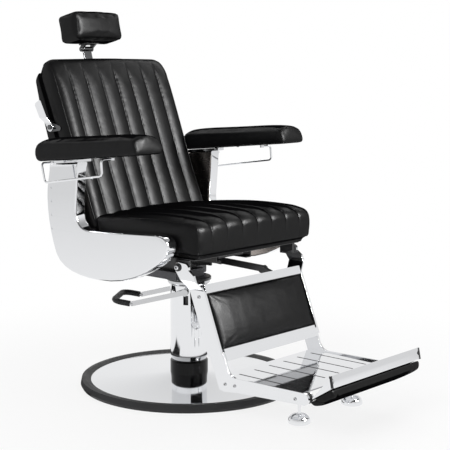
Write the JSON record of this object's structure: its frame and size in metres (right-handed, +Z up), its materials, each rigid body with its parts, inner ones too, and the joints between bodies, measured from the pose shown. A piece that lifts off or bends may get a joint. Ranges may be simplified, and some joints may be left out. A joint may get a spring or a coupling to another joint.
{
  "type": "barber chair",
  "caption": "Hydraulic barber chair with channelled black cushions, reclining back, swinging legrest with slotted footplate and foot pump lever on a round chrome base.",
  "frame": {"origin": "centre of the round base, on the floor", "axes": "+Z up, -Y to the front of the seat, +X to the sitter's left"},
  "size_m": [0.779, 1.2502, 1.1989],
  "materials": {
    "chrome": "mirror polish",
    "leather_black": "satin, sewn channels",
    "rubber_black": "satin",
    "steel_black": "satin black paint",
    "steel_grey": "satin dark grey paint",
    "cast_base": "rough casting",
    "plywood": "raw plywood"
  },
  "bodies": {
    "base": {"base_plate": "cast_base", "base_ring": "rubber_black", "base_dome": "chrome", "pump_collar": "chrome", "column_cover": "chrome", "pump_cylinder": "steel_black", "pump_head": "chrome", "lever_pins": "chrome"},
    "lever": {"pump_lever": "chrome", "lever_grip": "rubber_black"},
    "lift": {"ram": "chrome", "ram_flange": "chrome", "spindle_nut": "steel_black"},
    "seat": {"swivel_disc": "steel_black", "hub_bracket": "steel_grey", "riser_plates": "steel_black", "seat_rail_r": "steel_black", "seat_rail_l": "steel_black", "seat_cross": "steel_black", "seat_pan": "steel_black", "seat_board": "plywood", "seat_cushion": "leather_black", "side_body_r": "chrome", "side_body_l": "chrome", "arm_mounts": "chrome", "arm_board_r": "plywood", "arm_board_l": "plywood", "arm_pad_r": "leather_black", "arm_pad_l": "leather_black", "towel_rail_r": "chrome", "towel_rail_l": "chrome", "leg_brackets": "steel_black", "back_brackets": "steel_black"},
    "back": {"back_plate_r": "steel_black", "back_plate_l": "steel_black", "back_tube": "steel_black", "back_straps": "steel_black", "crank": "steel_black", "back_board": "plywood", "back_cushion": "leather_black", "back_shell": "leather_black", "bar_socket": "steel_black", "lever_bracket": "chrome"},
    "recline_handle": {"recline_lever": "chrome"},
    "headrest_post": {"headrest_bar": "chrome"},
    "headrest": {"headrest_ears": "steel_black", "headrest_cushion": "leather_black"},
    "link": {"link_bar": "steel_black"},
    "legrest": {"leg_bar_r": "chrome", "leg_bar_l": "chrome", "leg_cross_bars": "chrome", "leg_panel": "plywood", "leg_pad": "leather_black", "foot_rail_r": "chrome", "foot_rail_l": "chrome", "footplate": "chrome"},
    "flap": {"flap_tray": "chrome", "flap_pad": "leather_black"},
    "foot_right": {"foot_r": "chrome"},
    "foot_left": {"foot_l": "chrome"}
  },
  "joints": [
    {"name": "pump_stroke", "type": "hinge", "parent": "base", "child": "lever", "pos_m": [0, 0, 0.311], "axis": [-0.829, -0.5592, 0], "range_deg": [0, 25], "stiffness_Nm_per_rad": 8, "springref_deg": -20.05},
    {"name": "lift_slide", "type": "slide", "parent": "base", "child": "lift", "axis": [0, 0, 1], "range_m": [0, 0.16]},
    {"name": "seat_swivel", "type": "hinge", "parent": "lift", "child": "seat", "pos_m": [0, 0, 0.35], "axis": [0, 0, 1], "continuous": true},
    {"name": "back_recline", "type": "hinge", "parent": "seat", "child": "back", "pos_m": [0, 0.16, 0.47], "axis": [-1, 0, 0], "range_deg": [0, 40]},
    {"name": "legrest_swing", "type": "hinge", "parent": "seat", "child": "legrest", "pos_m": [0, -0.201, 0.436], "axis": [-1, 0, 0], "range_deg": [0, 56]},
    {"name": "link_turn", "type": "hinge", "parent": "back", "child": "link", "pos_m": [0, 0.1, 0.397], "axis": [-1, 0, 0], "range_deg": [-42.86, 0]},
    {"name": "recline_pull", "type": "hinge", "parent": "back", "child": "recline_handle", "pos_m": [0, 0.35016, 0.8251], "axis": [-1, 0, 0], "range_deg": [0, 15], "stiffness_Nm_per_rad": 1.2, "springref_deg": -28.65},
    {"name": "headrest_lift", "type": "slide", "parent": "back", "child": "headrest_post", "axis": [0, 0.2756, 0.9613], "range_m": [-0.025, 0.08]},
    {"name": "headrest_tilt", "type": "hinge", "parent": "headrest_post", "child": "headrest", "pos_m": [0, 0.47545, 1.07355], "axis": [-1, 0, 0], "range_deg": [-15, 25]},
    {"name": "flap_turn", "type": "hinge", "parent": "legrest", "child": "flap", "pos_m": [0, -0.64348, 0.1165], "axis": [-1, 0, 0], "range_deg": [0, 115]},
    {"name": "foot_level_right", "type": "slide", "parent": "legrest", "child": "foot_right", "axis": [0, 0, 1], "range_m": [-0.01, 0]},
    {"name": "foot_level_left", "type": "slide", "parent": "legrest", "child": "foot_left", "axis": [0, 0, 1], "range_m": [-0.01, 0]}
  ],
  "couplings": [
    {"joint": "legrest_swing", "follows": "back_recline", "ratio": 1.4},
    {"joint": "link_turn", "follows": "back_recline", "ratio": -1.0715}
  ]
}
